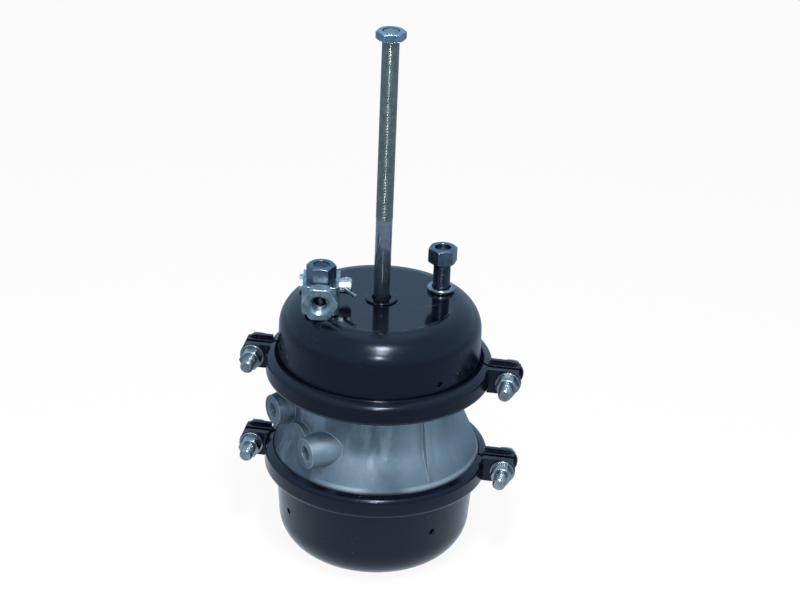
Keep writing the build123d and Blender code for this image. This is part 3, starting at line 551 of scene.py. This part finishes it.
def follow_stroke(frame, steel, rubber):
    """Copies of the springs and diaphragms, shown in place of the CAD nodes; the power spring's copy rides
    on the chamber.
    """
    coil = stand_in(frame, "power_spring", "squeezed_power_spring", steel)
    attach(coil, "chamber")
    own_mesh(coil)
    bends = (
        ("return_spring", "stretched", "spring_steel", steel, "push_rod_set", "chamber"),
        ("spring_diaphragm", "rolling", "black_rubber", rubber, "chamber", "spring_rod"),
        ("service_diaphragm", "rolling", "black_rubber", rubber, "chamber", "push_rod_set"),
    )
    for node, change, slot, finish, lower, upper in bends:
        bent = stand_in(frame, node, f"{change}_{node}", finish)
        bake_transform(bent)


def lathe(points, segments=64):
    """Smooth mesh turned about Z from (radius, height) points in millimetres."""
    shape = bmesh.new()
    rings = []
    for radius, height in points:
        if radius == 0:
            rings.append([shape.verts.new((0, 0, height * MM))])
            continue
        rings.append([
            shape.verts.new((
                radius * MM * math.cos(2 * math.pi * k / segments),
                radius * MM * math.sin(2 * math.pi * k / segments),
                height * MM,
            ))
            for k in range(segments)
        ])
    for low, high in zip(rings, rings[1:]):
        for k in range(segments):
            after = (k + 1) % segments
            below = [low[k % len(low)], low[after % len(low)]]
            above = [high[after % len(high)], high[k % len(high)]]
            shape.faces.new(list(dict.fromkeys(below + above)))
    for face in shape.faces:
        face.smooth = True
    mesh = bpy.data.meshes.new("turned")
    shape.to_mesh(mesh)
    shape.free()
    return mesh


def upright_place(x, y, z):
    """A place whose Z axis points up, from millimetres."""
    return Matrix.Translation(Vector((x, y, z)) * MM)


def outward_place(angle, distance, offset, height):
    """A place whose Z axis points outwards at an angle about the chamber's axis."""
    turn = Matrix.Rotation(math.radians(angle), 4, "Z")
    spot = Matrix.Translation(Vector((distance, offset, height)) * MM)
    return turn @ spot @ Matrix.Rotation(math.radians(90), 4, "Y")


def clamp_bolt_places(start):
    """Places of the four clamp bolts, at a distance along each from the split."""
    places = []
    for level in EAR_LEVELS:
        for angle, radius, side in EAR_BOLTS:
            turn = Matrix.Rotation(math.radians(angle), 4, "Z")
            spot = Matrix.Translation(Vector((radius, 0, level)) * MM)
            aim = Matrix.Rotation(math.radians(-90 * side), 4, "X")
            places.append(turn @ spot @ aim @ Matrix.Translation((0, 0, start * MM)))
    return places


def facing(target, azimuth, elevation, distance):
    """A place at a distance from a target, at angles in radians, that looks back at the target."""
    level = math.cos(elevation)
    direction = Vector((level * math.cos(azimuth), level * math.sin(azimuth), math.sin(elevation)))
    aim = direction.to_track_quat("Z", "Y").to_matrix().to_4x4()
    return Matrix.Translation(target + direction * distance) @ aim


def put_camera():
    """The camera at the photograph's viewpoint."""
    data = bpy.data.cameras.new("camera")
    data.lens = CAMERA_LENS
    data.sensor_fit = "HORIZONTAL"
    data.sensor_width = SENSOR_WIDTH
    data.clip_start, data.clip_end = CAMERA_CLIP
    camera = bpy.data.objects.new("camera", data)
    place = facing(CAMERA_TARGET, CAMERA_AZIMUTH, CAMERA_ELEVATION, CAMERA_DISTANCE)
    camera.matrix_world = place @ Matrix.Rotation(CAMERA_ROLL, 4, "Z")
    bpy.context.scene.collection.objects.link(camera)
    bpy.context.scene.camera = camera


def put_lamp(name, azimuth, elevation, distance, width, height, power):
    """A soft lamp aimed at the chamber, placed by its direction from it."""
    data = bpy.data.lights.new(name, "AREA")
    data.shape = "ELLIPSE"
    data.size = width
    data.size_y = height
    data.energy = power
    lamp = bpy.data.objects.new(name, data)
    lamp.matrix_world = facing(LAMP_AIM, math.radians(azimuth), math.radians(elevation), distance)
    bpy.context.scene.collection.objects.link(lamp)


def seen_directly(graph):
    """1 for rays from the camera or off a mirror or glass, else 0."""
    direct = graph.ray("Is Camera Ray") + graph.ray("Is Glossy Ray") + graph.ray("Is Transmission Ray")
    return direct.math("MINIMUM", direct, 1.0)


def put_world():
    """White background, whose mirror image is bluish and which lights the part only weakly."""
    world = bpy.data.worlds.new("studio")
    world.use_nodes = True
    bpy.context.scene.world = world
    sky = Graph(world.node_tree)
    sky.tree.nodes.clear()
    strength = 0.35 + 0.65 * seen_directly(sky)
    tint = sky.colour(sky.ray("Is Glossy Ray"), rgb(1, 1, 1), rgb(0.50, 0.76, 1.05))
    light = sky.add("ShaderNodeBackground", {}, {"Color": tint, "Strength": strength})
    sky.add("ShaderNodeOutputWorld", {}, {"Surface": light})


def put_floor():
    """Pale floor, almost white to the camera; its mirror image darkens away from the part."""
    ground = Finish("pale_floor")
    lit = ground.add("ShaderNodeBsdfDiffuse", {}, {"Color": rgb(0.86, 0.87, 0.88)})
    mirrored = ground.ray("Is Glossy Ray")
    shown = ground.ray("Is Camera Ray")
    away = ground.length(ground.point).above(0.19, 0.17)
    mirror_tone = ground.colour(away, rgb(0.80, 0.95, 1.10), rgb(0.36, 0.46, 0.62))
    glow_tone = ground.colour(mirrored, rgb(1, 1, 1), mirror_tone)
    glow = ground.add("ShaderNodeEmission", {}, {"Color": glow_tone, "Strength": 1.0})
    mixed = ground.add("ShaderNodeMixShader", {}, (shown * 0.92 + mirrored, lit, glow))
    ground.add("ShaderNodeOutputMaterial", {}, {"Surface": mixed})
    mesh = bpy.data.meshes.new("floor")
    sides = ((-1, -1), (1, -1), (1, 1), (-1, 1))
    corners = [(x * FLOOR_REACH, y * FLOOR_REACH, FLOOR_Z) for x, y in sides]
    mesh.from_pydata(corners, [], [(0, 1, 2, 3)])
    floor = show("floor", mesh, ground.material)


def put_rod(tree, sockets, finish):
    """The push rod with a modelled thread, in place of the CAD's plain one."""
    core = ROD_THREAD_RADIUS - DEEP_RIDGE
    ridges = thread_ridges(
        tree, sockets, [upright_place(0, 0, ROD_THREAD_START)], core, FINE_PITCH,
        ROD_TIP - RUN_OUT - ROD_THREAD_START, DEEP_RIDGE, finish,
    )
    turned = lathe([
        (0, ROD_FOOT), (ROD_SHANK_RADIUS, ROD_FOOT), (ROD_SHANK_RADIUS, ROD_THREAD_START - RUN_OUT),
        (core, ROD_THREAD_START), (core, ROD_TIP - ROD_CHAMFER_DROP),
        (core - ROD_CHAMFER, ROD_TIP - ROD_TIP_INSET), (0, ROD_TIP - ROD_TIP_INSET),
    ])
    rod = piece("threaded_push_rod", "push_rod_set", "zinc_plate", finish, turned, ridges)
    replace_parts(rod, "push_rod")


def put_jam_nut(frame, finish):
    """The jam nut, turned about its own axis as in the photograph."""
    mesh = frame["nodes"]["jam_nut"].data.copy()
    mesh.transform(Matrix.Rotation(math.radians(JAM_NUT_TURN), 4, "Z"))
    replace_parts(piece("turned_jam_nut", "rod_nut", "zinc_plate", finish, mesh), "jam_nut")


def put_threads(tree, sockets, finishes):
    """Thread ridges of the studs, clamp bolts, air ports and the yoke's bore."""
    stud_places = [upright_place(side * STUD_X, 0, STUD_THREAD_BOTTOM) for side in (-1, 1)]
    port_places = [
        outward_place(PORT_ANGLE, PORT_FACE - PORT_THREAD_DEPTH, side * PORT_OFFSET, level)
        for side, level in PORT_LEVELS.items()
    ]
    bore = (
        upright_place(-STUD_X, 0, YOKE_AXIS_Z) @ Matrix.Rotation(math.radians(YOKE_ANGLE), 4, "Z")
        @ Matrix.Rotation(math.radians(90), 4, "Y") @ Matrix.Translation((0, 0, YOKE_THREAD_START * MM))
    )
    threads = (
        ("stud_threads", "stud_steel", "dark_steel", stud_places, STUD_CORE_RADIUS, FINE_PITCH,
         STUD_THREAD_TOP - STUD_THREAD_BOTTOM, SHALLOW_RIDGE),
        ("clamp_bolt_threads", "zinc_plate", "zinc", clamp_bolt_places(CLAMP_THREAD_START),
         CLAMP_CORE_RADIUS, CLAMP_PITCH, CLAMP_THREAD_LENGTH, SHALLOW_RIDGE),
        ("port_threads", "cast_aluminium", "casting", port_places, PORT_THREAD_RADIUS, FINE_PITCH,
         PORT_THREAD_DEPTH - RUN_OUT, DEEP_RIDGE),
        ("yoke_bore_thread", "zinc_plate", "yoke_zinc", [bore], YOKE_BORE_RADIUS, FINE_PITCH,
         YOKE_THREAD_END - YOKE_THREAD_START, DEEP_RIDGE),
    )
    for name, slot, finish, places, radius, pitch, length, depth in threads:
        ridges = thread_ridges(tree, sockets, places, radius, pitch, length, depth, finishes[finish])
        piece(name, "chamber", slot, finishes[finish], ridges)


def main():
    """Dresses the CAD frame, adds the modelled pieces and sets the stage."""
    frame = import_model()
    bpy.context.scene.view_settings.view_transform = "Standard"
    put_camera()

    finishes = make_finishes()
    for finish, names in FINISHED_NODES.items():
        for name in names:
            mesh = frame["nodes"][name].data
            mesh.materials.clear()
            mesh.materials.append(finishes[finish])

    tree, sockets = thread_tree()
    put_rod(tree, sockets, finishes["rod_zinc"])
    put_jam_nut(frame, finishes["blue_zinc"])
    follow_stroke(frame, finishes["spring_steel"], finishes["rubber"])
    put_threads(tree, sockets, finishes)

    put_world()
    put_floor()
    for lamp in LAMPS:
        put_lamp(*lamp)


main()
